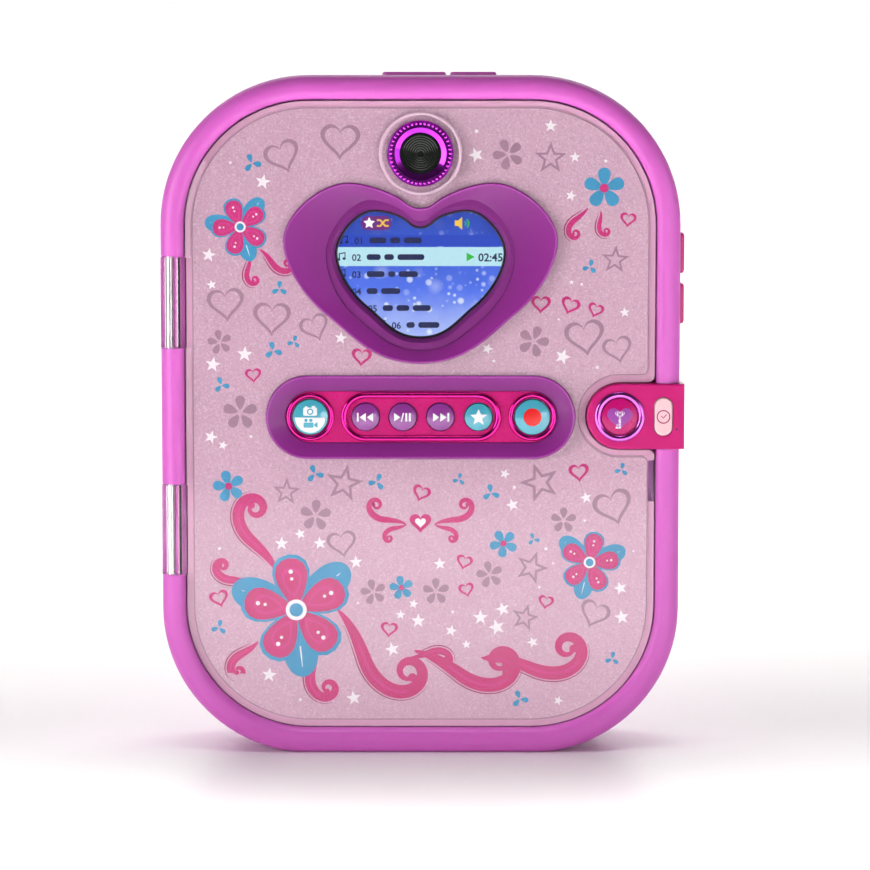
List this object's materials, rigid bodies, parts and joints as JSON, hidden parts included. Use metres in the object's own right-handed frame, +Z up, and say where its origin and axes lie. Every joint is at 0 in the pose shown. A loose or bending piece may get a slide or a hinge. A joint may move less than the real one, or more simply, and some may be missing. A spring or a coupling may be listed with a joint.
{
  "type": "electronic diary",
  "caption": "Free-standing electronic diary with a hinged, clear-fronted lid that carries a heart-shaped screen, keys and a camera, over a tray with a notebook and keepsake well.",
  "frame": {"origin": "middle of the flat standing face at the bottom", "axes": "+Z up along the height, +X to the right as seen from the front, +Y from the front to the back"},
  "size_m": [0.1635, 0.0517, 0.213],
  "materials": {
    "orchid_shell": "satin",
    "violet_plastic": "satin",
    "mauve_plastic": "satin",
    "glitter_film": "glitter under a clear coat",
    "clear_plastic": "clear gloss",
    "purple_plastic": "gloss",
    "magenta_plastic": "gloss",
    "magenta_tint": "translucent gloss",
    "purple_chrome": "metallised gloss",
    "lens_glass": "dark gloss",
    "teal_plastic": "gloss",
    "purple_key": "gloss",
    "pale_pink_plastic": "gloss",
    "display": "lit display",
    "black_plastic": "matte",
    "white_plastic": "matte",
    "silicone": "matte",
    "circuit_board": "satin",
    "steel": "bright",
    "nickel_plate": "bright",
    "cell_jacket": "gloss",
    "notebook_card": "coated card",
    "paper": "matte paper"
  },
  "bodies": {
    "base": {"front_frame": "orchid_shell", "back_shell": "orchid_shell", "inner_tray": "violet_plastic", "notebook_bin": "violet_plastic", "keepsake_bin": "violet_plastic", "battery_door": "orchid_shell", "battery_door_screw": "steel", "case_screws": "steel", "tray_screws": "steel", "aa_cells": "cell_jacket", "battery_contacts": "nickel_plate", "speaker": "black_plastic", "main_board": "circuit_board", "latch_solenoid": "black_plastic", "latch_guide": "white_plastic", "clasp_cover": "magenta_plastic", "clasp_ring": "purple_chrome", "clasp_board": "circuit_board", "side_key_board": "circuit_board", "top_key_board": "circuit_board", "upper_hinge_pin": "steel", "lower_hinge_pin": "steel", "notebook_cover": "notebook_card", "notebook_pages": "paper"},
    "lid": {"lid_cover": "clear_plastic", "glitter_film": "glitter_film", "lid_carrier": "mauve_plastic", "lid_back": "violet_plastic", "lid_screws": "steel", "heart_bezel": "purple_plastic", "screen_window": "clear_plastic", "lcd_panel": "display", "key_bezel": "purple_plastic", "key_plate": "magenta_plastic", "photo_key_rim": "magenta_tint", "music_key_rim": "magenta_tint", "record_key_rim": "magenta_tint", "key_pad": "silicone", "lid_board": "circuit_board", "camera_ring": "purple_chrome", "camera_lens": "lens_glass", "camera_module": "black_plastic"},
    "photo_key": {"photo_key": "teal_plastic"},
    "rewind_key": {"rewind_key": "purple_key"},
    "play_key": {"play_key": "purple_key"},
    "forward_key": {"forward_key": "purple_key"},
    "star_key": {"star_key": "teal_plastic"},
    "record_key": {"record_key": "teal_plastic"},
    "lock_key": {"lock_key": "magenta_plastic"},
    "clock_key": {"clock_key": "pale_pink_plastic"},
    "volume_up_key": {"volume_up_key": "magenta_plastic"},
    "volume_down_key": {"volume_down_key": "magenta_plastic"},
    "power_key": {"power_key": "orchid_shell"},
    "shutter_key": {"shutter_key": "orchid_shell"},
    "bolt": {"latch_bolt": "steel", "latch_plunger": "steel"}
  },
  "joints": [
    {"name": "lid_hinge", "type": "hinge", "parent": "base", "child": "lid", "pos_m": [-0.0779, -0.0214, 0.106], "axis": [0, 0, -1], "range_deg": [0, 170]},
    {"name": "photo_key_press", "type": "slide", "parent": "lid", "child": "photo_key", "axis": [0, 1, 0], "range_m": [0, 0.0008], "stiffness_N_per_m": 600},
    {"name": "rewind_key_press", "type": "slide", "parent": "lid", "child": "rewind_key", "axis": [0, 1, 0], "range_m": [0, 0.0008], "stiffness_N_per_m": 600},
    {"name": "play_key_press", "type": "slide", "parent": "lid", "child": "play_key", "axis": [0, 1, 0], "range_m": [0, 0.0008], "stiffness_N_per_m": 600},
    {"name": "forward_key_press", "type": "slide", "parent": "lid", "child": "forward_key", "axis": [0, 1, 0], "range_m": [0, 0.0008], "stiffness_N_per_m": 600},
    {"name": "star_key_press", "type": "slide", "parent": "lid", "child": "star_key", "axis": [0, 1, 0], "range_m": [0, 0.0008], "stiffness_N_per_m": 600},
    {"name": "record_key_press", "type": "slide", "parent": "lid", "child": "record_key", "axis": [0, 1, 0], "range_m": [0, 0.0008], "stiffness_N_per_m": 600},
    {"name": "lock_key_press", "type": "slide", "parent": "base", "child": "lock_key", "axis": [0, 1, 0], "range_m": [0, 0.0008], "stiffness_N_per_m": 600},
    {"name": "clock_key_press", "type": "slide", "parent": "base", "child": "clock_key", "axis": [0, 1, 0], "range_m": [0, 0.0008], "stiffness_N_per_m": 600},
    {"name": "volume_up_key_press", "type": "slide", "parent": "base", "child": "volume_up_key", "axis": [-1, 0, 0], "range_m": [0, 0.0006], "stiffness_N_per_m": 600},
    {"name": "volume_down_key_press", "type": "slide", "parent": "base", "child": "volume_down_key", "axis": [-1, 0, 0], "range_m": [0, 0.0006], "stiffness_N_per_m": 600},
    {"name": "power_key_press", "type": "slide", "parent": "base", "child": "power_key", "axis": [0, 0, -1], "range_m": [0, 0.0006], "stiffness_N_per_m": 600},
    {"name": "shutter_key_press", "type": "slide", "parent": "base", "child": "shutter_key", "axis": [0, 0, -1], "range_m": [0, 0.0006], "stiffness_N_per_m": 600},
    {"name": "bolt_slide", "type": "slide", "parent": "base", "child": "bolt", "axis": [-1, 0, 0], "range_m": [0, 0.004]}
  ]
}
